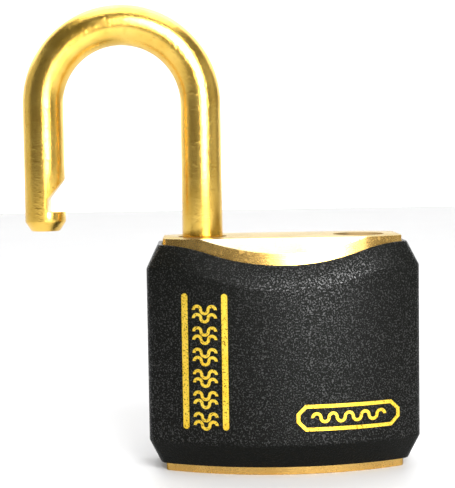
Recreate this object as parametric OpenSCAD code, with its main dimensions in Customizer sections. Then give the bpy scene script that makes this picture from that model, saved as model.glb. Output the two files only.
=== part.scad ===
// Weather-covered padlock with a sprung, swinging shackle.
// Origin: centre of the brass block's bottom face. +X is the side of the toe hole, -Y is the front, +Z is up.
// The lock stands open: the shackle is up on its stop and swung half a turn away from the toe hole.

/* [Lock body] */
// Height of the brass block
body_h = 35.8; // [34.8:0.1:44]
// Brass left between the toe hole and the block's side
side_wall = 2.65; // [2.2:0.05:4]
// Thickness of the brass block at its middle
body_t = 19; // [17.5:0.1:24]
// Radius of the block's convex front and back
body_face_r = 38; // [36:1:80]
// Radius of the block's upright corners
body_corner_r = 1.2; // [0.6:0.1:2]
// Height of the sloped facets along the front and back top edges
facet_h = 2.2; // [1:0.1:3.5]
// Depth of those facets at the top face, measured at the middle
facet_d = 2.2; // [0.8:0.1:2.4]

/* [Weather cover] */
// Wall of the cover at the middle of its front
cover_front_wall = 2; // [1.9:0.1:3]
// Wall of the cover at its sides
cover_side_wall = 2.45; // [2:0.05:4]
// Gap between the cover and the brass
cover_gap = 0.1; // [0.05:0.05:0.2]
// Radius of the cover's convex front and back
cover_face_r = 40; // [38:1:90]
// Radius of the cover's upright corners
cover_corner_r = 1.6; // [1:0.1:2.5]
// Brass left showing below the cover
cover_foot_gap = 1.2; // [0.4:0.1:2]
// Brass left showing above the cover
cover_head_gap = 0.9; // [0.4:0.1:2]
// Width of the bevels round the cover's top and bottom
bevel_w = 1.75; // [0.8:0.05:1.8]
// Height of the bevel round the top
top_bevel_h = 3.6; // [2:0.1:5]
// Height of the bevel round the bottom
foot_bevel_h = 3.7; // [2:0.1:5]
// Depth of the scoop in the cover's top edge
scoop_d = 3.1; // [1:0.1:4]
// Radius of the scoop
scoop_r = 37; // [30:1:50]

/* [Shackle] */
// Diameter of the shackle rod
rod_d = 6.3; // [5.2:0.05:7]
// Distance between the two legs, centre to centre
leg_spacing = 24.4; // [23.6:0.1:30]
// Height of the arch's centre above the block with the shackle up
arch_rise = 20.7; // [17:0.1:30]
// Gap between the free leg's end and the block with the shackle up
toe_gap = 1.25; // [0.6:0.05:2]
// Travel of the shackle from locked to up
lift_travel = 11; // [9.8:0.1:12]
// Clearance round the captive leg in its bore
heel_clear = 0.2; // [0.1:0.05:0.3]
// Clearance round the free leg in its hole
toe_clear = 0.35; // [0.2:0.05:0.5]
// Depth of the locking notch
notch_d = 2.5; // [2:0.1:2.6]
// Height of the notch's ledge above the leg's end
notch_ledge = 3; // [2.8:0.1:3.5]
// Height of the notch's flat floor
notch_floor = 1.95; // [1.8:0.05:2.5]
// Height of the notch's slope
notch_slope = 3.05; // [2.8:0.05:3.5]
// Depth of the turned neck in the captive leg
neck_depth = 0.8; // [0.5:0.05:1]
// Depth of the neck's upper end below the block's top with the shackle up
neck_top = 0.8; // [0.5:0.1:1.5]
// Length of the full-size foot under the neck
foot_h = 2.5; // [2:0.1:4]

/* [Bolt] */
// Diameter of the toe bolt
bolt_d = 4.7; // [3.9:0.1:5]
// Radial clearance of the toe bolt in its bore
bolt_clear = 0.1; // [0.05:0.05:0.15]
// Clearance between the bolt's nose and the notch
nose_clear = 0.15; // [0.1:0.05:0.2]
// Brass left between the bolt's bore and the captive leg's bore
bolt_end_wall = 1.35; // [1:0.05:1.6]
// Wall over the spring pocket in the bolt's tail
pocket_wall = 0.45; // [0.35:0.05:0.6]

/* [Cylinder] */
// Diameter of the turning plug
plug_d = 8.9; // [7.4:0.1:10.7]
// Radial clearance of the plug in its bore
plug_clear = 0.05; // [0.03:0.01:0.08]
// Length of the plug's head above its last pin
plug_head = 2.75; // [2.6:0.05:3]
// Setback of the plug's face above the block's bottom
plug_setback = 0.4; // [0.2:0.1:1]
// Angle that the plug turns to open the lock
plug_angle = 80; // [70:1:84]
// Distance of the cam's peg from the plug's axis
peg_offset = 2.2; // [2:0.05:2.3]
// Diameter of the cam's peg
peg_d = 1.8; // [1.4:0.1:1.9]
// Rim of the cam's disc round its peg
cam_rim = 0.1; // [0.05:0.05:0.3]
// Height of the lowest pin above the block's bottom
pin_first_z = 5; // [4.5:0.1:5.5]
// Distance from pin to pin
pin_pitch = 3.3; // [3.1:0.05:3.6]
// Diameter of the pins
pin_d = 2.8; // [2.4:0.1:2.8]
// Radial clearance of the pins in their chambers
pin_clear = 0.05; // [0.03:0.01:0.08]
// Length of the driver pins
driver_len = 3.6; // [3:0.1:4]
// Length of the plugs that close the pin chambers
chamber_plug_len = 4.2; // [3:0.1:4.4]

/* [Printing on the cover] */
// Thickness of the gold foil
foil_t = 0.12; // [0.1:0.01:0.3]
// Width of the upright lines
stripe_w = 0.92; // [0.6:0.02:1.4]
// Length of the upright lines
stripe_len = 20.6; // [14:0.1:22]
// Distance of the left line from the cover's side
stripe_inset = 5.75; // [5:0.05:8]
// Distance between the two lines
stripe_gap = 5.95; // [5:0.05:7]
// Height of the lines' middle above the block's bottom
stripe_z = 17.5; // [16:0.1:24]
// Width of the outlined panel
badge_w = 16; // [12:0.1:18]
// Height of the outlined panel
badge_h = 4; // [3:0.1:5]
// Width of the panel's outline
badge_line = 0.55; // [0.3:0.05:0.8]
// Distance of the panel from the cover's side
badge_inset = 3.55; // [3:0.05:6]
// Height of the panel's middle above the block's bottom
badge_z = 9; // [8.5:0.1:14]

/* [Hidden] */
$fn = 96;
cut = 1;
fit_gap = 0.1;

pin_count = 5;
pin_numbers = [1:pin_count];
key_drops = [0.6, 1.2, 0.9, 1.5, 0.3];

// Shackle places: heel is the captive leg, toe the free one
heel_x = -leg_spacing / 2;
toe_hole_x = leg_spacing / 2;
toe_x = heel_x - leg_spacing;
arch_z = body_h + arch_rise;
toe_end_z = body_h + toe_gap;
rod_r = rod_d / 2;
neck_d = rod_d - 2 * neck_depth;
heel_bore_r = rod_r + heel_clear;
toe_bore_r = rod_r + toe_clear;
mouth_bevel = 0.45;
body_w = leg_spacing + 2 * (toe_bore_r + side_wall);

// The pin across the heel bore sits in the neck: it stops the foot when the shackle is up
heel_pin_d = 2;
heel_pin_x = heel_x + neck_d / 2 + fit_gap + heel_pin_d / 2;
heel_bore_side_x = heel_x + heel_bore_r;
neck_len = lift_travel + heel_pin_d + 2 * fit_gap;
foot_top_z = body_h - neck_top - neck_len;
heel_end_z = foot_top_z - foot_h;
heel_pin_z = foot_top_z + fit_gap + heel_pin_d / 2;
heel_pin_reach = heel_bore_r + 1;
retaining_pin_sink = 0.3;
cap_h = 1.5;
cap_bottom_z = heel_end_z - cap_h;
spring_seat_z = 2.5;
spring_wire_d = 0.8;

// Bolt places, worked out from the notch where the locked shackle puts it
ledge_gap = 0.05;
toe_bore_spare = 1.6;
bolt_tail_gap = 0.45;
bolt_plug_gap = 0.35;
pocket_floor = 1.25;
locked_toe_end_z = toe_end_z - lift_travel;
bolt_r = bolt_d / 2;
bolt_z = locked_toe_end_z + notch_ledge + ledge_gap + bolt_r;
notch_floor_x = toe_hole_x - rod_r + notch_d;
bolt_tip_x = notch_floor_x - nose_clear;
toe_bore_bottom_z = locked_toe_end_z - toe_bore_spare;
peg_start = 90 - plug_angle / 2;
bolt_travel = 2 * peg_offset * cos(peg_start);
bolt_bore_end_x = heel_bore_side_x + bolt_end_wall;
bolt_tail_x = bolt_bore_end_x + bolt_travel + bolt_tail_gap;
bolt_len = bolt_tip_x - bolt_tail_x;
bolt_plug_x = toe_hole_x + toe_bore_r + bolt_plug_gap;
pocket_d = bolt_d - pocket_floor - pocket_wall;
pocket_z = bolt_z + bolt_r - pocket_wall - pocket_d / 2;

// Cam places: the peg stands in a slot under the bolt
cam_gap = 0.35;
peg_drop = 0.7;
slot_spare = 0.2;
slot_play = 0.3;
slot_wall = 0.75;
plug_top = pin_first_z + (pin_count - 1) * pin_pitch + pin_d / 2 + pin_clear + plug_head;
cam_d = 2 * (peg_offset + cam_rim) + peg_d;
peg_x = peg_offset * cos(peg_start);
peg_y = peg_offset * sin(peg_start);
cam_bottom_z = plug_top + fit_gap;
cam_top_z = bolt_z - bolt_r - cam_gap;
peg_top_z = bolt_z - peg_drop;
slot_top_z = peg_top_z + slot_spare;
slot_left_x = peg_x - peg_d / 2 - fit_gap;
slot_right_x = slot_left_x + bolt_travel + peg_d + slot_play;
spring_stop_x = slot_left_x - slot_wall;
cam_pocket_d = cam_d + 4 * fit_gap;
tongue_w = 2;
tongue_h = 1.2;

// The plug is held by a pin that rides in a groove near its upper end
plug_bore_d = plug_d + 2 * plug_clear;
groove_depth = 0.85;
groove_h = 1.7;
groove_lip = 0.7;
groove_d = plug_d - 2 * groove_depth;
groove_z = plug_top - groove_lip - groove_h / 2;
tongue_len = groove_d - 2;
plug_pin_d = groove_h - fit_gap;
plug_pin_x = -(groove_d / 2 + fit_gap / 2 + plug_pin_d / 2);
plug_pin_reach = 4.6;

// Pin stacks along +X; the shear line is the plug's surface
pin_end_setback = 0.15;
pin_end_x = plug_d / 2 - pin_end_setback;
pin_end_bevel = 0.45;
pin_tip_bevel = 0.7;
pin_tip_x = 0.3;
pin_seat_x = pin_tip_x - fit_gap;
chamber_d = pin_d + 2 * pin_clear;
driver_x = plug_bore_d / 2 + fit_gap / 2;
pin_spring_x = driver_x + driver_len;
chamber_plug_x = body_w / 2 - chamber_plug_len;
keyway_left = -plug_d / 2 - cut;
keyway_top = pin_first_z + (pin_count - 1) * pin_pitch + pin_d / 2;
// Key profile as overlapping boxes from the back of the keyway to its front: [left, bottom, width, depth]
keyway_steps = [
    [keyway_left, -0.8, -1.5 - keyway_left, 1.6],
    [-1.6, -0.35, 1.5, 1.3],
    [-0.2, -0.9, 1.4, 1.6],
    [1.1, -0.6, 1.6, 1.2]];

function pin_z(i) = pin_first_z + (i - 1) * pin_pitch;

// Distance of the block's convex face from its middle plane
function body_face_y(x) = sqrt(body_face_r * body_face_r - x * x) - (body_face_r - body_t / 2);

// Cover sizes
cover_w = body_w + 2 * (cover_gap + cover_side_wall);
cover_t = body_t + 2 * (cover_gap + cover_front_wall);
cover_bottom_z = cover_foot_gap;
cover_top_z = body_h - cover_head_gap;
stripe_x = stripe_inset - cover_w / 2;
badge_x = cover_w / 2 - badge_inset - badge_w / 2;
wave_line_w = 0.45;
mark_count = 6;
mark_pitch = 3.25;
mark_wave_r = 0.55;
mark_split = 1.24;
marks_z = stripe_z - 0.9;
badge_wave_r = 0.62;
scoop_half = sqrt(scoop_r * scoop_r - (scoop_r - scoop_d) * (scoop_r - scoop_d));
scoop_blend = 3.2;
front_steps = 36;
corner_steps = 4;

// ---------- shared shapes ----------

// Flat outline with straight sides, rounded corners and a convex front and back
module lens_outline(w, t, face_r, corner_r) {
    half = half_outline(w, t, face_r, corner_r);
    n = len(half);
    polygon(concat(
        [for (p = half) [p[0], -p[1]]],
        [for (k = [n - 1:-1:0]) half[k]]));
}

// Distance of the corners' centres from the outline's middle line
function corner_centre_y(w, t, face_r, corner_r) =
    sqrt(pow(face_r - corner_r, 2) - pow(w / 2 - corner_r, 2)) - (face_r - t / 2);

// Half of that outline as points from left to right; y is positive outwards
function half_outline(w, t, face_r, corner_r) =
    let (
        cx = w / 2 - corner_r,
        cy = corner_centre_y(w, t, face_r, corner_r),
        lean = asin(cx / (face_r - corner_r)),
        left = [for (k = [0:corner_steps - 1])
            let (a = 180 - k / corner_steps * (90 - lean))
            [-cx + corner_r * cos(a), cy + corner_r * sin(a)]],
        front = [for (k = [0:front_steps])
            let (a = -lean + 2 * lean * k / front_steps)
            [face_r * sin(a), face_r * cos(a) - (face_r - t / 2)]],
        right = [for (k = [corner_steps - 1:-1:0])
            let (a = 180 - k / corner_steps * (90 - lean))
            [cx - corner_r * cos(a), cy + corner_r * sin(a)]]
    )
    concat(left, front, right);

// Depth of the scoop at a place across the front, eased into the straight edge at both ends
function scoop_at(x) =
    let (
        ease_start = scoop_half - scoop_blend,
        slope = ease_start / sqrt(scoop_r * scoop_r - ease_start * ease_start),
        depth = sqrt(scoop_r * scoop_r - ease_start * ease_start) - (scoop_r - scoop_d),
        ease_len = 2 * depth / slope,
        ax = abs(x)
    )
    ax <= ease_start ? sqrt(scoop_r * scoop_r - ax * ax) - (scoop_r - scoop_d)
    : ax < ease_start + ease_len ? depth * pow(1 - (ax - ease_start) / ease_len, 2)
    : 0;

// Round wire wound along Z, closed at both ends
module coil(mean_r, wire_d, length, turns, rings_per_turn, sides) {
    rings = round(turns * rings_per_turn);
    rise = length - wire_d;
    points = [for (i = [0:rings], j = [0:sides - 1])
        let (
            a = 360 * turns * i / rings,
            b = 360 * j / sides,
            r = mean_r + wire_d / 2 * cos(b)
        )
        [r * cos(a), r * sin(a), wire_d / 2 + rise * i / rings + wire_d / 2 * sin(b)]];
    walls = [for (i = [0:rings - 1], j = [0:sides - 1])
        let (
            a = i * sides + j,
            b = i * sides + (j + 1) % sides
        )
        each [[a, b, b + sides], [a, b + sides, a + sides]]];
    first_end = [for (j = [sides - 1:-1:0]) j];
    last_end = [for (j = [0:sides - 1]) rings * sides + j];
    polyhedron(points, concat(walls, [first_end], [last_end]), convexity = 10);
}

// Lays a shape drawn along Z down along +X, starting at the given x
module along_x(x, z) {
    translate([x, 0, z]) rotate([0, 90, 0]) children();
}

// Lifts a flat motif onto the cover's curved front as a thin foil
module front_foil() {
    centre_y = cover_face_r - cover_t / 2;
    intersection() {
        translate([0, centre_y, 0]) difference() {
            cylinder(r = cover_face_r + foil_t, h = body_h, $fn = 360);
            translate([0, 0, -cut]) cylinder(r = cover_face_r + 0.01, h = body_h + 2 * cut, $fn = 360);
        }
        rotate([90, 0, 0]) linear_extrude(cover_t) children();
    }
}

// Flat ring segment that makes one half wave, arching up (1) or down (-1)
module half_wave(r, line, up) {
    intersection() {
        difference() {
            circle(r = r + line / 2, $fn = 48);
            circle(r = r - line / 2, $fn = 48);
        }
        translate([0, up * r]) square([4 * r, 2 * r], center = true);
    }
}

// Row of half waves, centred on the origin
module wave_line(count, r, line) {
    for (k = [0:count - 1]) {
        translate([(2 * k - count + 1) * r, 0]) half_wave(r, line, k % 2 == 0 ? 1 : -1);
    }
}

// ---------- body pieces ----------

module lock_body() {
    color([0.80, 0.66, 0.36]) difference() {
        linear_extrude(body_h) lens_outline(body_w, body_t, body_face_r, body_corner_r);
        top_facets();
        translate([heel_x, 0, 0]) leg_bore(heel_bore_r, spring_seat_z);
        translate([toe_hole_x, 0, 0]) leg_bore(toe_bore_r, toe_bore_bottom_z);
        translate([0, 0, -cut]) cylinder(d = plug_bore_d, h = cam_bottom_z + cut);
        translate([0, 0, plug_top]) cylinder(d = cam_pocket_d, h = slot_top_z - plug_top);
        along_x(bolt_bore_end_x, bolt_z)
            cylinder(r = bolt_r + bolt_clear, h = body_w / 2 - bolt_bore_end_x + cut);
        for (i = pin_numbers) {
            along_x(0, pin_z(i)) cylinder(d = chamber_d, h = body_w / 2 + cut);
        }
        translate([heel_pin_x, -heel_pin_reach, heel_pin_z]) rotate([-90, 0, 0])
            cylinder(d = heel_pin_d, h = body_t);
        translate([plug_pin_x, -plug_pin_reach, groove_z]) rotate([-90, 0, 0])
            cylinder(d = plug_pin_d, h = body_t);
    }
}

// Sloped cuts along the front and back top edges
module top_facets() {
    for (side = [0, 1]) {
        mirror([0, side, 0]) rotate([90, 0, -90]) translate([0, 0, -body_w / 2 - cut])
            linear_extrude(body_w + 2 * cut) polygon([
                [body_t / 2 - facet_d, body_h],
                [body_t / 2, body_h - facet_h],
                [body_t / 2 + facet_d, body_h - 2 * facet_h],
                [body_t / 2 + facet_d, body_h + cut],
                [body_t / 2 - facet_d, body_h + cut]]);
    }
}

// Upright bore from its floor to the block's top, with a bevelled mouth
module leg_bore(r, floor_z) {
    translate([0, 0, floor_z]) cylinder(r = r, h = body_h - floor_z + cut);
    translate([0, 0, body_h - mouth_bevel])
        cylinder(r1 = r, r2 = r + mouth_bevel + cut, h = mouth_bevel + cut);
}

module weather_cover() {
    outer = half_outline(cover_w, cover_t, cover_face_r, cover_corner_r);
    inner = half_outline(cover_w - 2 * bevel_w, cover_t - 2 * bevel_w, cover_face_r, cover_corner_r);
    n = len(outer);
    // Rows from the bottom edge up; front points run left to right, back points follow in the same order
    lower_edge = [for (side = [-1, 1], p = inner) [p[0], side * p[1], cover_bottom_z]];
    lower_bevel = [for (side = [-1, 1], p = outer) [p[0], side * p[1], cover_bottom_z + foot_bevel_h]];
    upper_bevel = [for (side = [-1, 1], p = outer)
        [p[0], side * p[1], cover_top_z - top_bevel_h - scoop_at(p[0])]];
    upper_edge = [for (side = [-1, 1], p = inner) [p[0], side * p[1], cover_top_z - scoop_at(p[0])]];
    points = concat(lower_edge, lower_bevel, upper_bevel, upper_edge);
    row = 2 * n;
    front_walls = [for (r = [0:2], k = [0:n - 2])
        let (a = r * row + k)
        each [[a, a + row + 1, a + 1], [a, a + row, a + row + 1]]];
    back_walls = [for (r = [0:2], k = [0:n - 2])
        let (a = r * row + n + k)
        each [[a, a + 1, a + row + 1], [a, a + row + 1, a + row]]];
    side_walls = [for (r = [0:2])
        let (
            left = r * row,
            right = r * row + n - 1
        )
        each [
            [left, left + n, left + row + n], [left, left + row + n, left + row],
            [right, right + row + n, right + n], [right, right + row, right + row + n]]];
    floor_strips = [for (k = [0:n - 2]) each [[k, k + 1, k + n + 1], [k, k + n + 1, k + n]]];
    top = 3 * row;
    top_strips = [for (k = [0:n - 2])
        each [[top + k, top + k + n + 1, top + k + 1], [top + k, top + k + n, top + k + n + 1]]];
    color([0.07, 0.07, 0.065]) difference() {
        polyhedron(points, concat(front_walls, back_walls, side_walls, floor_strips, top_strips),
            convexity = 4);
        translate([0, 0, -cut]) linear_extrude(body_h + 2 * cut)
            lens_outline(body_w + 2 * cover_gap, body_t + 2 * cover_gap, body_face_r, body_corner_r);
    }
}

module cover_stripes() {
    color([0.80, 0.62, 0.20]) front_foil() {
        for (x = [stripe_x, stripe_x + stripe_gap]) {
            translate([x, stripe_z]) {
                square([stripe_w, stripe_len - stripe_w], center = true);
                for (end = [-1, 1]) {
                    translate([0, end * (stripe_len - stripe_w) / 2]) circle(d = stripe_w, $fn = 32);
                }
            }
        }
    }
}

module wave_marks() {
    color([0.80, 0.62, 0.20]) front_foil() {
        for (k = [0:mark_count - 1]) {
            translate([stripe_x + stripe_gap / 2, marks_z + (k - (mark_count - 1) / 2) * mark_pitch]) {
                translate([0, mark_split / 2]) wave_line(3, mark_wave_r, wave_line_w);
                translate([0, -mark_split / 2]) wave_line(3, mark_wave_r, wave_line_w);
            }
        }
    }
}

module badge() {
    color([0.80, 0.62, 0.20]) front_foil() {
        translate([badge_x, badge_z]) {
            difference() {
                clipped_panel(badge_w, badge_h);
                clipped_panel(badge_w - 2 * badge_line, badge_h - 2 * badge_line);
            }
            wave_line(9, badge_wave_r, wave_line_w);
        }
    }
}

// Rectangle with its four corners cut off at 45 degrees
module clipped_panel(w, h) {
    clip = h / 3;
    polygon([
        [-w / 2 + clip, -h / 2], [w / 2 - clip, -h / 2], [w / 2, -h / 2 + clip], [w / 2, h / 2 - clip],
        [w / 2 - clip, h / 2], [-w / 2 + clip, h / 2], [-w / 2, h / 2 - clip], [-w / 2, -h / 2 + clip]]);
}

module heel_retaining_pin() {
    color([0.75, 0.60, 0.30])
        translate([heel_pin_x, -heel_pin_reach, heel_pin_z]) rotate([-90, 0, 0])
            cylinder(d = heel_pin_d,
                h = heel_pin_reach + body_face_y(heel_pin_x - heel_pin_d / 2) - retaining_pin_sink);
}

module plug_retaining_pin() {
    color([0.70, 0.70, 0.72])
        translate([plug_pin_x, -plug_pin_reach, groove_z]) rotate([-90, 0, 0])
            cylinder(d = plug_pin_d,
                h = plug_pin_reach + body_face_y(plug_pin_x - plug_pin_d / 2) - retaining_pin_sink);
}

module bolt_bore_plug() {
    color([0.75, 0.60, 0.30])
        along_x(bolt_plug_x, bolt_z) cylinder(r = bolt_r + bolt_clear, h = body_w / 2 - bolt_plug_x);
}

module chamber_plug(i) {
    color([0.75, 0.60, 0.30])
        along_x(chamber_plug_x, pin_z(i)) cylinder(d = chamber_d, h = chamber_plug_len);
}

// ---------- shackle pieces ----------

module shackle() {
    bevel_tip_h = 1.45;
    bevel_tip_d = 0.95;
    color([0.76, 0.62, 0.30]) difference() {
        union() {
            translate([heel_x - leg_spacing / 2, 0, arch_z]) rotate([90, 0, 0])
                rotate_extrude(angle = 180) translate([leg_spacing / 2, 0]) circle(r = rod_r);
            translate([heel_x, 0, body_h - neck_top]) cylinder(r = rod_r, h = arch_rise + neck_top);
            translate([heel_x, 0, foot_top_z - cut / 2]) cylinder(d = neck_d, h = neck_len + cut);
            translate([heel_x, 0, heel_end_z]) cylinder(r = rod_r, h = foot_h);
            translate([toe_x, 0, toe_end_z]) {
                translate([0, 0, bevel_tip_h]) cylinder(r = rod_r, h = arch_z - toe_end_z - bevel_tip_h);
                cylinder(r1 = rod_r - bevel_tip_d, r2 = rod_r, h = bevel_tip_h);
            }
        }
        locking_notch();
    }
}

// Locking notch on the inner side of the free leg: a level ledge, a flat floor and a slope back out
module locking_notch() {
    inner_x = toe_x + rod_r;
    floor_x = inner_x - notch_d;
    ledge_z = toe_end_z + notch_ledge;
    translate([0, rod_r + cut, 0]) rotate([90, 0, 0]) linear_extrude(rod_d + 2 * cut)
        polygon([
            [floor_x, ledge_z],
            [inner_x + cut, ledge_z],
            [inner_x + cut, ledge_z + notch_floor + notch_slope * (notch_d + cut) / notch_d],
            [floor_x, ledge_z + notch_floor]]);
}

module spring_cap() {
    color([0.75, 0.60, 0.30])
        translate([heel_x, 0, cap_bottom_z]) cylinder(r = rod_r - fit_gap / 2, h = cap_h);
}

module shackle_spring() {
    color([0.70, 0.70, 0.72]) translate([heel_x, 0, spring_seat_z])
        coil(rod_r - spring_wire_d / 2 - fit_gap, spring_wire_d, cap_bottom_z - spring_seat_z, 4.5, 14, 6);
}

// ---------- bolt ----------

module toe_bolt() {
    slope_rise = bolt_d - notch_floor + ledge_gap;
    slope_run = slope_rise * notch_d / notch_slope;
    slope_x = bolt_tip_x - slope_run;
    slope_z = bolt_z + bolt_r;
    color([0.72, 0.58, 0.30]) difference() {
        along_x(bolt_tail_x, bolt_z) cylinder(r = bolt_r, h = bolt_len);
        translate([0, bolt_d, 0]) rotate([90, 0, 0]) linear_extrude(2 * bolt_d) polygon([
            [slope_x, slope_z],
            [bolt_tip_x + cut * notch_d / notch_slope, slope_z - slope_rise - cut],
            [bolt_tip_x + cut * notch_d / notch_slope, slope_z + cut],
            [slope_x, slope_z + cut]]);
        translate([slot_left_x, -bolt_d, bolt_z - bolt_d])
            cube([slot_right_x - slot_left_x, 2 * bolt_d, slot_top_z - bolt_z + bolt_d]);
        along_x(bolt_tail_x - cut, pocket_z) cylinder(d = pocket_d, h = spring_stop_x - bolt_tail_x + cut);
    }
}

module bolt_spring() {
    spring_d = pocket_d - 3 * fit_gap;
    wire_d = 0.35;
    color([0.70, 0.70, 0.72]) along_x(bolt_bore_end_x, pocket_z)
        coil((spring_d - wire_d) / 2, wire_d, spring_stop_x - bolt_bore_end_x, 7, 12, 5);
}

// ---------- cylinder ----------

module key_plug() {
    color([0.78, 0.66, 0.40]) difference() {
        translate([0, 0, plug_setback]) cylinder(d = plug_d, h = plug_top - plug_setback);
        translate([0, 0, groove_z - groove_h / 2]) difference() {
            cylinder(d = plug_d + cut, h = groove_h);
            translate([0, 0, -cut]) cylinder(d = groove_d, h = groove_h + 2 * cut);
        }
        translate([0, 0, -cut]) linear_extrude(keyway_top + cut) keyway();
        for (i = pin_numbers) {
            along_x(pin_seat_x, pin_z(i)) cylinder(d = chamber_d, h = plug_d);
        }
        translate([-(tongue_len + fit_gap) / 2, -(tongue_w + fit_gap) / 2, plug_top - tongue_h - fit_gap])
            cube([tongue_len + fit_gap, tongue_w + fit_gap, tongue_h + fit_gap + cut]);
    }
}

// Stepped slot that only its own key profile fits
module keyway() {
    for (step = keyway_steps) {
        translate([step[0], step[1]]) square([step[2], step[3]]);
    }
}

module cam() {
    color([0.70, 0.70, 0.72]) {
        translate([0, 0, cam_bottom_z]) cylinder(d = cam_d, h = cam_top_z - cam_bottom_z);
        translate([peg_x, peg_y, cam_top_z - cut]) cylinder(d = peg_d, h = peg_top_z - cam_top_z + cut);
        translate([-tongue_len / 2, -tongue_w / 2, plug_top - tongue_h])
            cube([tongue_len, tongue_w, tongue_h + cut]);
    }
}

module key_pin(i) {
    tip_x = pin_tip_x + key_drops[i - 1];
    pin_len = pin_end_x - tip_x;
    color([0.80, 0.66, 0.36]) along_x(tip_x, pin_z(i)) {
        cylinder(d1 = pin_d - 2 * pin_tip_bevel, d2 = pin_d, h = pin_tip_bevel);
        translate([0, 0, pin_tip_bevel]) cylinder(d = pin_d, h = pin_len - pin_tip_bevel - pin_end_bevel);
        translate([0, 0, pin_len - pin_end_bevel])
            cylinder(d1 = pin_d, d2 = pin_d - 2 * pin_end_bevel, h = pin_end_bevel);
    }
}

module driver_pin(i) {
    rim = 0.3;
    color([0.70, 0.70, 0.72]) along_x(driver_x, pin_z(i)) {
        cylinder(d1 = pin_d - 2 * rim, d2 = pin_d, h = rim);
        translate([0, 0, rim]) cylinder(d = pin_d, h = driver_len - rim);
    }
}

module pin_spring(i) {
    wire_d = 0.35;
    spring_d = pin_d - 0.1;
    color([0.70, 0.70, 0.72]) along_x(pin_spring_x, pin_z(i))
        coil((spring_d - wire_d) / 2, wire_d, chamber_plug_x - pin_spring_x, 6, 12, 5);
}

lock_body();
weather_cover();
cover_stripes();
wave_marks();
badge();
shackle();
spring_cap();
shackle_spring();
heel_retaining_pin();
toe_bolt();
bolt_spring();
bolt_bore_plug();
key_plug();
cam();
plug_retaining_pin();
for (i = pin_numbers) {
    key_pin(i);
    driver_pin(i);
    pin_spring(i);
    chamber_plug(i);
}
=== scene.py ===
import math
import bpy
from mathutils import Matrix, Vector


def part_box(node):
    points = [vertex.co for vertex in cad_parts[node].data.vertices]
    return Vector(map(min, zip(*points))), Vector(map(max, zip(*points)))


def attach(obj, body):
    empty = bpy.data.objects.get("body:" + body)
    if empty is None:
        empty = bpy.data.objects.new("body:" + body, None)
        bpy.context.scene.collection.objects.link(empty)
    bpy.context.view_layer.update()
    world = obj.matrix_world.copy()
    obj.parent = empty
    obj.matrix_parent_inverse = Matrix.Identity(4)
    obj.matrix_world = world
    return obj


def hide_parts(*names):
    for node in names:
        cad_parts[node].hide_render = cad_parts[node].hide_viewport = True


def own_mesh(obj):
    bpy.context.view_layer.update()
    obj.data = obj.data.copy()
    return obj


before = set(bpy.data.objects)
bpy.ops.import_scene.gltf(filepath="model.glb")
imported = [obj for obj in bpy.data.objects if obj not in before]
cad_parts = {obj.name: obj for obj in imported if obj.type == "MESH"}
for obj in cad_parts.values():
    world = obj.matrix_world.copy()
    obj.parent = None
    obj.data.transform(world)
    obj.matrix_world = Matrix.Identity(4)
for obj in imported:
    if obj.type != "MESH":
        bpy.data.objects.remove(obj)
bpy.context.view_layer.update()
MM = 0.001


# ---------------------------------------------------------------------------
# Brass block
# Extruded brass section with a convex front and back, sawn to length, milled along its two top edges and
# bored from the top, the bottom and the right side. It is left bare, with fine lines from finishing belts.

def clear_selection():
    """Leaves edit mode and deselects everything, as an operator acts on all that is selected."""
    if bpy.context.mode != "OBJECT":
        bpy.ops.object.mode_set(mode="OBJECT")
    bpy.ops.object.select_all(action="DESELECT")


def take(obj):
    """Makes obj the only selected and the active object."""
    clear_selection()
    obj.hide_set(False)
    obj.select_set(True)
    bpy.context.view_layer.objects.active = obj
    return obj


def cylinder(radius, depth, centre, axis="Z", sides=64, top_radius=None):
    """A closed cylinder or cone, all in millimetres, lying along the given axis."""
    clear_selection()
    turn = {"X": (0, math.pi / 2, 0), "Y": (math.pi / 2, 0, 0), "Z": (0, 0, 0)}[axis]
    place = [c * MM for c in centre]
    if top_radius is None:
        bpy.ops.mesh.primitive_cylinder_add(vertices=sides, radius=radius * MM, depth=depth * MM,
                                            location=place, rotation=turn)
    else:
        bpy.ops.mesh.primitive_cone_add(vertices=sides, radius1=radius * MM, radius2=top_radius * MM,
                                        depth=depth * MM, location=place, rotation=turn)
    made = bpy.context.object
    bpy.ops.object.transform_apply(location=True, rotation=True, scale=True)
    return made


def prism(points, axis, start, end):
    """A closed bar along an axis from start to end, with the given outline across it, in millimetres."""
    clear_selection()
    bpy.ops.mesh.primitive_circle_add(vertices=len(points), radius=MM, fill_type="NGON")
    bar = bpy.context.object
    for vertex, (a, b) in zip(bar.data.vertices, points):
        vertex.co = [c * MM for c in {"X": (start, a, b), "Y": (a, start, b), "Z": (a, b, start)}[axis]]
    move = [(end - start) * MM * (axis == name) for name in "XYZ"]
    bpy.ops.object.mode_set(mode="EDIT")
    bpy.ops.mesh.select_all(action="SELECT")
    bpy.ops.mesh.extrude_region_move(TRANSFORM_OT_translate={"value": move})
    bpy.ops.mesh.select_all(action="SELECT")
    bpy.ops.mesh.normals_make_consistent(inside=False)
    bpy.ops.object.mode_set(mode="OBJECT")
    return bar


def carve(obj, tool):
    """Cuts the tool's shape out of obj and throws the tool away."""
    take(obj)
    step = obj.modifiers.new("carve", "BOOLEAN")
    step.object = tool
    step.operation = "DIFFERENCE"
    step.solver = "EXACT"
    bpy.ops.object.modifier_apply(modifier=step.name)
    bpy.data.objects.remove(tool)
    return obj


def break_edges(obj, width, segments=2, angle=30):
    """Rounds every edge sharper than the angle, as deburring or a mould's radius leaves it."""
    take(obj)
    step = obj.modifiers.new("break", "BEVEL")
    step.width = width * MM
    step.segments = segments
    step.limit_method = "ANGLE"
    step.angle_limit = math.radians(angle)
    step.use_clamp_overlap = True
    bpy.ops.object.modifier_apply(modifier=step.name)
    return obj


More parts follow.
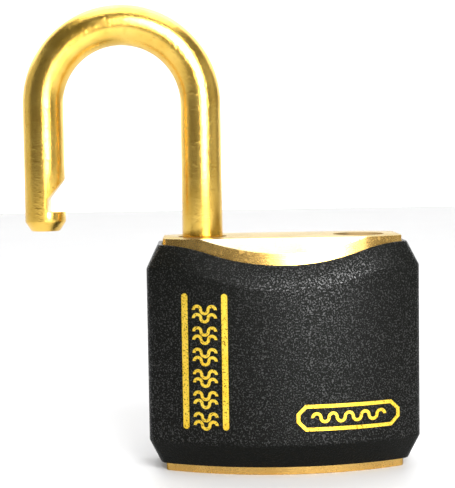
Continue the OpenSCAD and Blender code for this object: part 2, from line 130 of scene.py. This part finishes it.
def clean(obj, distance=0.002):
    """Merges doubled points and turns all faces outwards."""
    take(obj)
    bpy.ops.object.mode_set(mode="EDIT")
    bpy.ops.mesh.select_all(action="SELECT")
    bpy.ops.mesh.remove_doubles(threshold=distance * MM)
    bpy.ops.mesh.dissolve_degenerate(threshold=distance * MM)
    bpy.ops.mesh.normals_make_consistent(inside=False)
    bpy.ops.object.mode_set(mode="OBJECT")
    return obj


def finish_piece(obj, name, body, slot, material, *nodes, angle=28):
    """Names a piece, shades it, gives it its material and fixes it to its body in place of its CAD nodes."""
    take(obj)
    bpy.ops.object.shade_smooth_by_angle(angle=math.radians(angle))
    obj.name = name
    obj.data.name = name
    obj.data.materials.clear()
    obj.data.materials.append(material)
    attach(obj, body)
    if nodes:
        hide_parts(*nodes)
    return obj


class Sock:
    """Wraps a shader socket so that maths on it reads as an expression."""

    def __init__(self, made, socket):
        self.made, self.socket = made, socket

    def _math(self, operation, a, b=0.0):
        return self.made.node("ShaderNodeMath", {"operation": operation}, [a, b])

    def __add__(self, other):
        return self._math("ADD", self, other)

    def __sub__(self, other):
        return self._math("SUBTRACT", self, other)

    def __mul__(self, other):
        return self._math("MULTIPLY", self, other)

    def __radd__(self, other):
        return self._math("ADD", other, self)

    def __rsub__(self, other):
        return self._math("SUBTRACT", other, self)

    def __rmul__(self, other):
        return self._math("MULTIPLY", other, self)


class Finish:
    """A material with one Principled shader, and one method that adds any other node."""

    def __init__(self, name, **uniform):
        self.material = bpy.data.materials.new(name)
        self.material.use_nodes = True
        self.tree = self.material.node_tree
        self.shader = next(n for n in self.tree.nodes if n.type == "BSDF_PRINCIPLED")
        for socket, value in uniform.items():
            self.shader.inputs[socket.replace("_", " ")].default_value = value

    def node(self, kind, settings=None, inputs=None, output=0):
        made = self.tree.nodes.new(kind)
        for key, value in (settings or {}).items():
            if key == "stops":
                ramp = made.color_ramp
                while len(ramp.elements) < len(value):
                    ramp.elements.new(0.5)
                for element, (place, colour) in zip(ramp.elements, value):
                    element.position = place
                    element.color = colour
            else:
                setattr(made, key, value)
        pairs = inputs.items() if isinstance(inputs, dict) else enumerate(inputs or [])
        for key, value in pairs:
            if isinstance(value, Sock):
                self.tree.links.new(value.socket, made.inputs[key])
            else:
                made.inputs[key].default_value = value
        return Sock(self, made.outputs[output])

    def place(self, scale=(1, 1, 1)):
        """Object coordinates in millimetres, stretched by the scale."""
        here = self.node("ShaderNodeTexCoord", output="Object")
        return self.node("ShaderNodeMapping", {"vector_type": "POINT"},
                         {"Vector": here, "Scale": [s / MM for s in scale]})

    def noise(self, scale, detail=2.0, rough=0.5, stretch=(1, 1, 1), distort=0.0):
        """Noise from 0 to 1; scale is grains per millimetre."""
        return self.node("ShaderNodeTexNoise", {"noise_dimensions": "3D"},
                         {"Vector": self.place(stretch), "Scale": scale, "Detail": detail,
                          "Roughness": rough, "Distortion": distort})

    def ramp(self, value, low, high):
        """0 below low, 1 above high, even in between."""
        return self.node("ShaderNodeMapRange", {"clamp": True},
                         {"Value": value, "From Min": low, "From Max": high})

    def mix(self, factor, a, b):
        """Colour a where the factor is 0 and b where it is 1."""
        return self.node("ShaderNodeMix", {"data_type": "RGBA"},
                         {"Factor": factor, 6: a, 7: b}, output=2)

    def bump(self, height, strength, distance):
        """Relief from a height of 0 to 1; distance is its depth in millimetres."""
        return self.node("ShaderNodeBump", None,
                         {"Height": height, "Strength": strength, "Distance": distance * MM})

    def set(self, **linked):
        for socket, value in linked.items():
            self.tree.links.new(value.socket, self.shader.inputs[socket.replace("_", " ")])
        return self.material


def rgb(red, green, blue):
    """A screen colour from 0 to 255 as linear values."""
    def linear(c):
        c /= 255
        return c / 12.92 if c <= 0.04045 else ((c + 0.055) / 1.055) ** 2.4
    return (linear(red), linear(green), linear(blue), 1.0)


def milled_brass():
    """Drawn brass skin on the walls, paler freshly milled brass on top, and painted shade darkening the
    shackle bores.
    """
    f = Finish("milled_brass", Metallic=1.0, Specular_Tint=(0.36, 0.30, 0.21, 1.0))
    lines = f.noise(1.0, 4, 0.6, stretch=(0.35, 9, 9))
    fine = f.noise(2.2, 3, 0.6, stretch=(0.8, 16, 16))
    cloud = f.noise(0.16, 3, 0.55)
    spots = f.ramp(f.noise(1.4, 2, 0.5), 0.62, 0.72)
    tone = f.ramp(cloud * 0.7 + lines * 0.3, 0.3, 0.7)
    facing = f.node("ShaderNodeNewGeometry", output="Normal")
    upward = f.ramp(f.node("ShaderNodeSeparateXYZ", None, [facing], output="Z"), 0.3, 0.6)
    skin = f.mix(tone, rgb(206, 162, 84), rgb(236, 196, 116))
    milled = f.mix(tone, rgb(240, 222, 170), rgb(253, 240, 200))
    base = f.mix(upward, skin, milled)
    base = f.mix(spots * 0.25, base, rgb(178, 134, 66))
    here = f.node("ShaderNodeTexCoord", output="Object")
    height = f.node("ShaderNodeSeparateXYZ", None, [here], output="Z")
    inside = f.ramp(height, 1.2 * MM, 2.2 * MM)
    # Painted shade: the walls and countersunk mouths of the two shackle bores are painted dark brown.
    bore_shade = 0.0
    for x, r in ((heel_x, heel_bore_r), (toe_hole_x, toe_bore_r)):
        axis = f.node("ShaderNodeVectorMath", {"operation": "SUBTRACT"}, [here, (x * MM, 0, 0)])
        flat = f.node("ShaderNodeVectorMath", {"operation": "MULTIPLY"}, [axis, (1 / MM, 1 / MM, 0)])
        away = f.node("ShaderNodeVectorMath", {"operation": "LENGTH"}, [flat], output="Value")
        bore_shade = bore_shade + inside * f.ramp(away, r + 0.55, r + 0.4)
    base = f.mix(bore_shade * 0.85, base, rgb(96, 66, 24))
    rough = 0.16 + cloud * 0.12 + lines * 0.1 + spots * 0.1 + bore_shade * 0.15
    return f.set(Base_Color=base, Roughness=rough,
                 Normal=f.bump(lines * 0.6 + fine * 0.4, 0.12, 0.012))


brass_lo, brass_hi = [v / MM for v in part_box("lock_body")]
block_w = brass_hi.x - brass_lo.x
block_t = brass_hi.y - brass_lo.y
block_h = brass_hi.z
block_face_r = 38.0
block_corner_r = 1.2
facet_h = 2.2
facet_d = 2.2
heel_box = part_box("spring_cap")
heel_x = (heel_box[0].x + heel_box[1].x) / 2 / MM
toe_hole_x = -heel_x
rod_r = 3.15
heel_bore_r = rod_r + 0.2
toe_bore_r = rod_r + 0.35
plug_lo, plug_hi = [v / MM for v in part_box("key_plug")]
plug_bore_r = (plug_hi.x - plug_lo.x) / 2 + 0.05
bolt_lo, bolt_hi = [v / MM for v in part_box("toe_bolt")]
bolt_z = (bolt_lo.z + bolt_hi.z) / 2
bolt_bore_r = (bolt_hi.z - bolt_lo.z) / 2 + 0.1
bolt_bore_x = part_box("bolt_spring")[0].x / MM
notch_ledge = 3.0
ledge_gap = 0.05
toe_bore_spare = 1.6
toe_floor_z = bolt_lo.z - ledge_gap - notch_ledge - toe_bore_spare
seat_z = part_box("shackle_spring")[0].z / MM
front_steps = 110
corner_steps = 7
pin_numbers = range(1, 6)


def half_outline(w, t, face_r, corner_r):
    """Front half of the lens outline, from left to right, as (x, distance out from the middle line)."""
    cx = w / 2 - corner_r
    cy = math.sqrt((face_r - corner_r) ** 2 - cx ** 2) - (face_r - t / 2)
    lean = math.asin(cx / (face_r - corner_r))
    turn = math.pi / 2 - lean
    left = [(-cx - corner_r * math.cos(a), cy + corner_r * math.sin(a))
            for a in (k / corner_steps * turn for k in range(corner_steps))]
    front = [(face_r * math.sin(a), face_r * math.cos(a) - (face_r - t / 2))
             for a in (-lean + 2 * lean * k / front_steps for k in range(front_steps + 1))]
    return left + front + [(-x, y) for x, y in reversed(left)]


def outline(w, t, face_r, corner_r):
    """The whole outline, anticlockwise from above, starting at the left end of the front."""
    half = half_outline(w, t, face_r, corner_r)
    return [(x, -y) for x, y in half] + [(x, y) for x, y in reversed(half)]


brass_block = prism(outline(block_w, block_t, block_face_r, block_corner_r), "Z", 0, block_h)
for side in (-1, 1):
    y, z = block_t / 2, block_h
    carve(brass_block, prism([(side * (y - facet_d * k), z - facet_h * (1 - k)) for k in (-1, 2)]
                             + [(side * (y + facet_d), z + facet_h)], "X", -block_w, block_w))
break_edges(brass_block, 0.14, 2, 25)
mouth = 0.45
for x, r, floor in ((heel_x, heel_bore_r, seat_z), (toe_hole_x, toe_bore_r, toe_floor_z)):
    depth = block_h - floor + 1
    carve(brass_block, cylinder(r, depth, (x, 0, floor + depth / 2)))
    carve(brass_block, cylinder(r, mouth * 2, (x, 0, block_h), top_radius=r + mouth * 2))
carve(brass_block, cylinder(plug_bore_r, plug_hi.z + 1.1, (0, 0, (plug_hi.z - 0.9) / 2)))
cam_room_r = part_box("cam")[1].x / MM + 0.2
cam_room_top = bolt_z - 0.5
carve(brass_block, cylinder(cam_room_r, cam_room_top - plug_hi.z, (0, 0, (cam_room_top + plug_hi.z) / 2)))
reach = block_w / 2 + 1
carve(brass_block, cylinder(bolt_bore_r, reach - bolt_bore_x, ((reach + bolt_bore_x) / 2, 0, bolt_z), "X"))
for i in pin_numbers:
    pin_lo, pin_hi = [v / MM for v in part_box(f"chamber_plug_{i}")]
    pin_r = (pin_hi.z - pin_lo.z) / 2
    carve(brass_block, cylinder(pin_r, reach, (reach / 2, 0, (pin_lo.z + pin_hi.z) / 2), "X"))
for pin in ("heel_retaining_pin", "plug_retaining_pin"):
    pin_lo, pin_hi = [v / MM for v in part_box(pin)]
    length = block_t / 2 + 1 - pin_lo.y
    middle = ((pin_lo.x + pin_hi.x) / 2, pin_lo.y + length / 2, (pin_lo.z + pin_hi.z) / 2)
    carve(brass_block, cylinder((pin_hi.x - pin_lo.x) / 2, length, middle, "Y"))
clean(brass_block)
finish_piece(brass_block, "brass_block", "lock", "brass_body", milled_brass(), "lock_body")


# ---------------------------------------------------------------------------
# Weather cover
# One black moulding that slips over the block and leaves brass showing above and below. Its mould was spark
# eroded, so the skin is full of fine glinting grains; the long edges carry a wide soft bevel.

def moulded_black():
    """Black plastic with a skin grained by spark erosion: fine rounded grains whose polished tips glint and
    are painted paler as a painted glint; near the foot the tips fade out as painted shade.
    """
    f = Finish("moulded_black", Specular_IOR_Level=0.08, Coat_Roughness=0.33, Coat_IOR=1.5)
    grain = f.noise(4.5, 2, 0.6)
    cloud = f.noise(0.12, 2, 0.5)
    here = f.node("ShaderNodeTexCoord", output="Object")
    height = f.node("ShaderNodeSeparateXYZ", None, [here], output="Z")
    # Painted shade: below about 5 mm the glinting tips and their paler paint fade to a tenth, darkening the
    # foot bevel.
    foot_shade_fade = f.ramp(height, 4.6 * MM, 5.2 * MM) * 0.9 + 0.1
    tips = f.ramp(grain, 0.55, 0.61) * foot_shade_fade
    # Painted glint: the grain tips are painted paler than the rest of the black, on top of their glossy
    # coat.
    base = f.mix(tips, rgb(8, 9, 7), rgb(18, 18, 16))
    rough = 0.34 + cloud * 0.08 - tips * 0.08
    return f.set(Base_Color=base, Roughness=rough, Coat_Weight=tips, Normal=f.bump(grain, 1.0, 0.1))


cover_lo, cover_hi = [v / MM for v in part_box("weather_cover")]
cover_w = cover_hi.x - cover_lo.x
cover_t = cover_hi.y - cover_lo.y
cover_face_r = 40.0
cover_corner_r = 1.6
bevel_w = 1.75
top_bevel_h = 3.6
foot_bevel_h = 3.7
scoop_d = 3.1
scoop_r = 37.0
cover_gap = 0.1


def scoop(x):
    """Depth of the scoop in the top edge, eased into the straight edge at both ends."""
    half = math.sqrt(scoop_r ** 2 - (scoop_r - scoop_d) ** 2)
    ease_start = half - 3.2
    depth = math.sqrt(scoop_r ** 2 - ease_start ** 2) - (scoop_r - scoop_d)
    slope = ease_start / math.sqrt(scoop_r ** 2 - ease_start ** 2)
    ease = 2 * depth / slope
    x = abs(x)
    if x <= ease_start:
        return math.sqrt(scoop_r ** 2 - x ** 2) - (scoop_r - scoop_d)
    return depth * (1 - (x - ease_start) / ease) ** 2 if x < ease_start + ease else 0.0


full = outline(cover_w, cover_t, cover_face_r, cover_corner_r)
narrow = outline(cover_w - 2 * bevel_w, cover_t - 2 * bevel_w, cover_face_r, cover_corner_r)
inside = outline(block_w + 2 * cover_gap, block_t + 2 * cover_gap, block_face_r, block_corner_r)
cover_rows = [
    (inside, lambda x: cover_lo.z),
    (narrow, lambda x: cover_lo.z),
    (full, lambda x: cover_lo.z + foot_bevel_h),
    (full, lambda x: cover_hi.z - top_bevel_h - scoop(x)),
    (narrow, lambda x: cover_hi.z - scoop(x)),
    (inside, lambda x: cover_hi.z - scoop(x)),
]

clear_selection()
bpy.ops.mesh.primitive_circle_add(vertices=len(full), radius=MM)
weather_cover = bpy.context.object
bpy.ops.object.mode_set(mode="EDIT")
for row in cover_rows[1:]:
    bpy.ops.mesh.extrude_region_move(TRANSFORM_OT_translate={"value": (0, 0, MM)})
bpy.ops.mesh.select_mode(type="EDGE")
bpy.ops.mesh.select_all(action="DESELECT")
bpy.ops.mesh.select_non_manifold()
bpy.ops.mesh.bridge_edge_loops()
bpy.ops.object.mode_set(mode="OBJECT")
for index, vertex in enumerate(weather_cover.data.vertices):
    ring, height = cover_rows[index // len(full)]
    x, y = ring[index % len(full)]
    vertex.co = (x * MM, y * MM, height(x) * MM)
clean(weather_cover)
break_edges(weather_cover, 0.3, 3, 17)
finish_piece(weather_cover, "weather_cover_shell", "lock", "cover_black", moulded_black(),
             "weather_cover", angle=40)


# ---------------------------------------------------------------------------
# Gold printing
# Two upright lines, a column of wave marks and an outlined panel, hot-stamped in gold foil on the cover.

def stamped_foil():
    """Bright gold foil that follows the plastic's grain and has missed a few of its deepest pits."""
    f = Finish("stamped_foil", Metallic=1.0)
    grain = f.noise(4.2, 3, 0.65)
    pits = f.ramp(grain, 0.36, 0.46)
    cloud = f.noise(0.5, 2, 0.5)
    base = f.mix(cloud, rgb(236, 190, 40), rgb(255, 226, 96))
    base = f.mix(pits, rgb(120, 88, 20), base)
    return f.set(Base_Color=base, Roughness=0.3 + grain * 0.25,
                 Normal=f.bump(grain, 0.8, 0.08))


foil = stamped_foil()
for name in ("cover_stripes", "wave_marks", "badge"):
    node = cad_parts[name]
    node.data.materials.clear()
    node.data.materials.append(foil)


# ---------------------------------------------------------------------------
# Shackle
# Round brass rod bent to an arch over two straight legs. The free leg has a turned bevel at its end and a
# locking notch milled in its inner side; the captive leg has a turned neck with a full-size foot under it.

def satin_brass():
    """Tumbled brass rod: satin, finely grained, a little darker where handling has not polished it."""
    f = Finish("satin_brass", Metallic=1.0)
    grain = f.noise(4.6, 2, 0.6)
    dents = f.ramp(f.noise(1.2, 2, 0.5), 0.58, 0.7)
    cloud = f.noise(0.22, 3, 0.55)
    base = f.mix(f.ramp(cloud, 0.3, 0.7), rgb(226, 182, 78), rgb(246, 206, 104))
    base = f.mix(dents * 0.2, base, rgb(166, 122, 40))
    rough = 0.15 + cloud * 0.06 + grain * 0.06
    return f.set(Base_Color=base, Roughness=rough,
                 Normal=f.bump(grain * 0.7 + dents * 0.3, 1.0, 0.045))


shackle_lo, shackle_hi = [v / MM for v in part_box("shackle")]
leg_spacing = -2 * heel_x
toe_x = heel_x - leg_spacing
arch_x = heel_x - leg_spacing / 2
arch_z = shackle_hi.z - rod_r - leg_spacing / 2
toe_gap = 1.25
neck_sink = 0.8
neck_h = 13.2
neck_depth = 0.8
toe_end_z = block_h + toe_gap
neck_top_z = block_h - neck_sink
neck_bottom_z = neck_top_z - neck_h
neck_r = rod_r - neck_depth
foot_bevel = 0.35
neck_bevel = 0.25
tip_bevel_h = 1.45
tip_bevel_d = 0.95
rod_sides = 72

clear_selection()
bpy.ops.mesh.primitive_circle_add(vertices=rod_sides, radius=(rod_r - foot_bevel) * MM,
                                  location=(heel_x * MM, 0, shackle_lo.z * MM))
shackle = bpy.context.object
bpy.ops.object.transform_apply(location=True)
bpy.ops.object.mode_set(mode="EDIT")
bpy.ops.mesh.select_all(action="SELECT")


def grow(rise, radius_from=None, radius_to=None, x=heel_x):
    """Extrudes the selected ring along Z and scales it about the leg's axis."""
    bpy.ops.mesh.extrude_region_move(TRANSFORM_OT_translate={"value": (0, 0, rise * MM)})
    if radius_to is not None:
        share = radius_to / radius_from
        bpy.ops.transform.resize(value=(share, share, 1), center_override=(x * MM, 0, 0))


foot_h = neck_bottom_z - shackle_lo.z
grow(foot_bevel, rod_r - foot_bevel, rod_r)
grow(foot_h - (foot_bevel + neck_bevel))
grow(neck_bevel, rod_r, rod_r - neck_bevel)
grow(0.0, rod_r - neck_bevel, neck_r)
grow(neck_top_z - neck_bottom_z)
grow(0.0, neck_r, rod_r - neck_bevel)
grow(neck_bevel, rod_r - neck_bevel, rod_r)
for half in range(2):
    grow((arch_z - neck_top_z - neck_bevel) / 2)
bpy.ops.mesh.spin(steps=64, angle=math.pi, center=(arch_x * MM, 0, arch_z * MM), axis=(0, 1, 0))
toe_len = arch_z - toe_end_z
for half in range(2):
    grow(-(toe_len - tip_bevel_h) / 2)
grow(-tip_bevel_h, rod_r, rod_r - tip_bevel_d, toe_x)
bpy.ops.mesh.select_all(action="SELECT")
bpy.ops.mesh.fill_holes(sides=0)
bpy.ops.object.mode_set(mode="OBJECT")
clean(shackle)

inner_x = toe_x + rod_r
notch_d = 2.5
notch_floor_x = inner_x - notch_d
ledge_z = toe_end_z + notch_ledge
notch_floor = 1.95
notch_slope = 3.05
carve(shackle, prism([(notch_floor_x, ledge_z), (inner_x + 1, ledge_z),
                      (inner_x + 1, ledge_z + notch_floor + notch_slope * (notch_d + 1) / notch_d),
                      (notch_floor_x, ledge_z + notch_floor)], "Y", -rod_r - 1, rod_r + 1))
clean(shackle)
break_edges(shackle, 0.12, 2, 25)
finish_piece(shackle, "shackle_rod", "shackle_swinging", "brass_shackle", satin_brass(), "shackle", angle=24)


# ---------------------------------------------------------------------------
# Inner works
# Turned brass pins and plugs, ground steel drivers and cam, and springs of drawn stainless wire.

def turned_brass():
    """Turned brass with fine tool rings and light cloudy tarnish."""
    f = Finish("turned_brass", Metallic=1.0)
    cloud = f.noise(0.4, 3, 0.5)
    rings = f.noise(1.0, 3, 0.6, stretch=(7, 0.4, 0.4))
    base = f.mix(cloud, rgb(206, 164, 84), rgb(240, 206, 130))
    return f.set(Base_Color=base, Roughness=0.22 + rings * 0.2, Normal=f.bump(rings, 0.3, 0.01))


def ground_steel():
    """Ground steel, grey and slightly streaked."""
    f = Finish("ground_steel", Metallic=1.0)
    streak = f.noise(1.0, 3, 0.6, stretch=(0.5, 8, 8))
    cloud = f.noise(0.4, 2, 0.5)
    base = f.mix(cloud, rgb(150, 150, 152), rgb(205, 205, 206))
    return f.set(Base_Color=base, Roughness=0.24 + streak * 0.2, Normal=f.bump(streak, 0.3, 0.008))


turned = turned_brass()
ground = ground_steel()
inner_finish = {"spring_cap": turned, "heel_retaining_pin": turned, "toe_bolt": turned,
                "bolt_bore_plug": turned, "key_plug": turned, "cam": ground, "plug_retaining_pin": ground,
                "shackle_spring": ground, "bolt_spring": ground}
for i in pin_numbers:
    inner_finish[f"key_pin_{i}"] = turned
    inner_finish[f"driver_pin_{i}"] = ground
    inner_finish[f"pin_spring_{i}"] = ground
    inner_finish[f"chamber_plug_{i}"] = turned
for name, material in inner_finish.items():
    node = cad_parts[name]
    node.data.materials.clear()
    node.data.materials.append(material)


def wound_spring(name, node, turns, wire_d, body, axis="Z"):
    """A closed coil as long as its CAD node, running along its axis from the node's lower end."""
    low, high = [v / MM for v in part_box(node)]
    along = "XYZ".index(axis)
    centre = (low + high) / 2
    length = high[along] - low[along]
    mean_r = (high.y - low.y) / 2 - wire_d / 2
    clear_selection()
    bpy.ops.mesh.primitive_circle_add(vertices=14, radius=wire_d / 2 * MM, rotation=(math.pi / 2, 0, 0),
                                      location=(mean_r * MM, 0, wire_d / 2 * MM))
    spring = bpy.context.object
    bpy.ops.object.transform_apply(location=True, rotation=True, scale=True)
    wind = spring.modifiers.new("wind", "SCREW")
    wind.iterations = math.ceil(turns)
    wind.angle = 2 * math.pi * turns / wind.iterations
    wind.screw_offset = (length - wire_d) * MM / wind.iterations
    wind.steps = wind.render_steps = 40
    bpy.ops.object.modifier_apply(modifier=wind.name)
    bpy.ops.object.mode_set(mode="EDIT")
    bpy.ops.mesh.select_all(action="SELECT")
    bpy.ops.mesh.fill_holes(sides=0)
    bpy.ops.object.mode_set(mode="OBJECT")
    clean(spring, 0.0005)
    start = [low[i] if i == along else centre[i] for i in range(3)]
    take(spring)
    if axis == "X":
        spring.rotation_euler = (0, math.pi / 2, 0)
    spring.location = [c * MM for c in start]
    bpy.ops.object.transform_apply(location=True, rotation=True, scale=True)
    finish_piece(spring, name, body, "spring_steel", ground, node, angle=60)
    [c * MM for c in start]
    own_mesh(spring)


wound_spring("shackle_coil", "shackle_spring", 4.5, 0.8, "lock")
wound_spring("bolt_coil", "bolt_spring", 7, 0.35, "lock", "X")


# ---------------------------------------------------------------------------
# Studio
# Pale floor, a plain white backdrop that fills the view behind it, and soft lights: a tall one at the front
# right for the crisp highlight, and wide ones from the sides, above and behind for the broad reflections.

clear_selection()
bpy.ops.mesh.primitive_plane_add(size=1.0, location=(0, 0.32, -0.02 * MM))
floor = bpy.context.object
floor.name = "floor"
floor.scale = (2.4, 1.16, 1)
bpy.ops.object.transform_apply(location=True, rotation=True, scale=True)
pale = Finish("pale_floor", Roughness=0.5, Specular_IOR_Level=0.3)
pale_tone = pale.mix(pale.noise(0.02, 2), rgb(198, 198, 198), rgb(194, 194, 195))
floor.data.materials.append(pale.set(Base_Color=pale_tone))

clear_selection()
bpy.ops.mesh.primitive_plane_add(size=3.0, location=(0, 0.9, 1.2), rotation=(math.pi / 2, 0, 0))
backdrop = bpy.context.object
backdrop.name = "backdrop"
bpy.ops.object.transform_apply(location=True, rotation=True, scale=True)
lit = Finish("white_backdrop", Roughness=0.9, Emission_Strength=1.05)
lit_tone = lit.mix(lit.noise(0.01, 1), rgb(255, 255, 254), rgb(253, 253, 253))
backdrop.data.materials.append(lit.set(Emission_Color=lit_tone))


def soft_light(name, place, aim, size, power):
    """A rectangular soft light, in millimetres, turned towards the aim."""
    data = bpy.data.lights.new(name, "AREA")
    data.shape = "RECTANGLE"
    data.size, data.size_y = size[0] * MM, size[1] * MM
    data.energy = power
    lamp = bpy.data.objects.new(name, data)
    bpy.context.scene.collection.objects.link(lamp)
    lamp.location = [p * MM for p in place]
    lamp.rotation_mode = "QUATERNION"
    lamp.rotation_quaternion = (Vector(aim) - Vector(place)).to_track_quat("-Z", "Y")


middle = (0, 0, 28)
soft_light("key", (104, -322, 180), middle, (180, 280), 3.3)
soft_light("left", (-420, 60, 150), middle, (340, 300), 0.17)
soft_light("right", (420, -60, 150), middle, (300, 300), 0.1)
soft_light("top", (0, 60, 420), middle, (420, 420), 1.6)
soft_light("far", (0, 560, 420), (0, 540, 0), (1700, 620), 3.4)

world = bpy.data.worlds.new("studio")
bpy.context.scene.world = world
world.use_nodes = True
air = world.node_tree.nodes["Background"]
air.inputs["Color"].default_value = (1, 1, 1, 1)
air.inputs["Strength"].default_value = 0.17

camera_data = bpy.data.cameras.new("camera")
camera = bpy.data.objects.new("camera", camera_data)
bpy.context.scene.collection.objects.link(camera)
bpy.context.scene.camera = camera
camera_data.sensor_width = 36
camera_data.lens = 100.19
camera_data.clip_start, camera_data.clip_end = 0.01, 20
camera.location = (-13.1 * MM, -212.0 * MM, 49.3 * MM)
heading, dip, tilt = [math.radians(a) for a in (1.29, 3.99, -0.89)]
look = Vector((math.sin(heading) * math.cos(dip), math.cos(heading) * math.cos(dip), -math.sin(dip)))
camera.rotation_mode = "QUATERNION"
aimed = look.to_track_quat("-Z", "Y").to_matrix()
camera.rotation_quaternion = (aimed @ Matrix.Rotation(tilt, 3, "Z")).to_quaternion()

bpy.context.scene.view_settings.view_transform = "Standard"
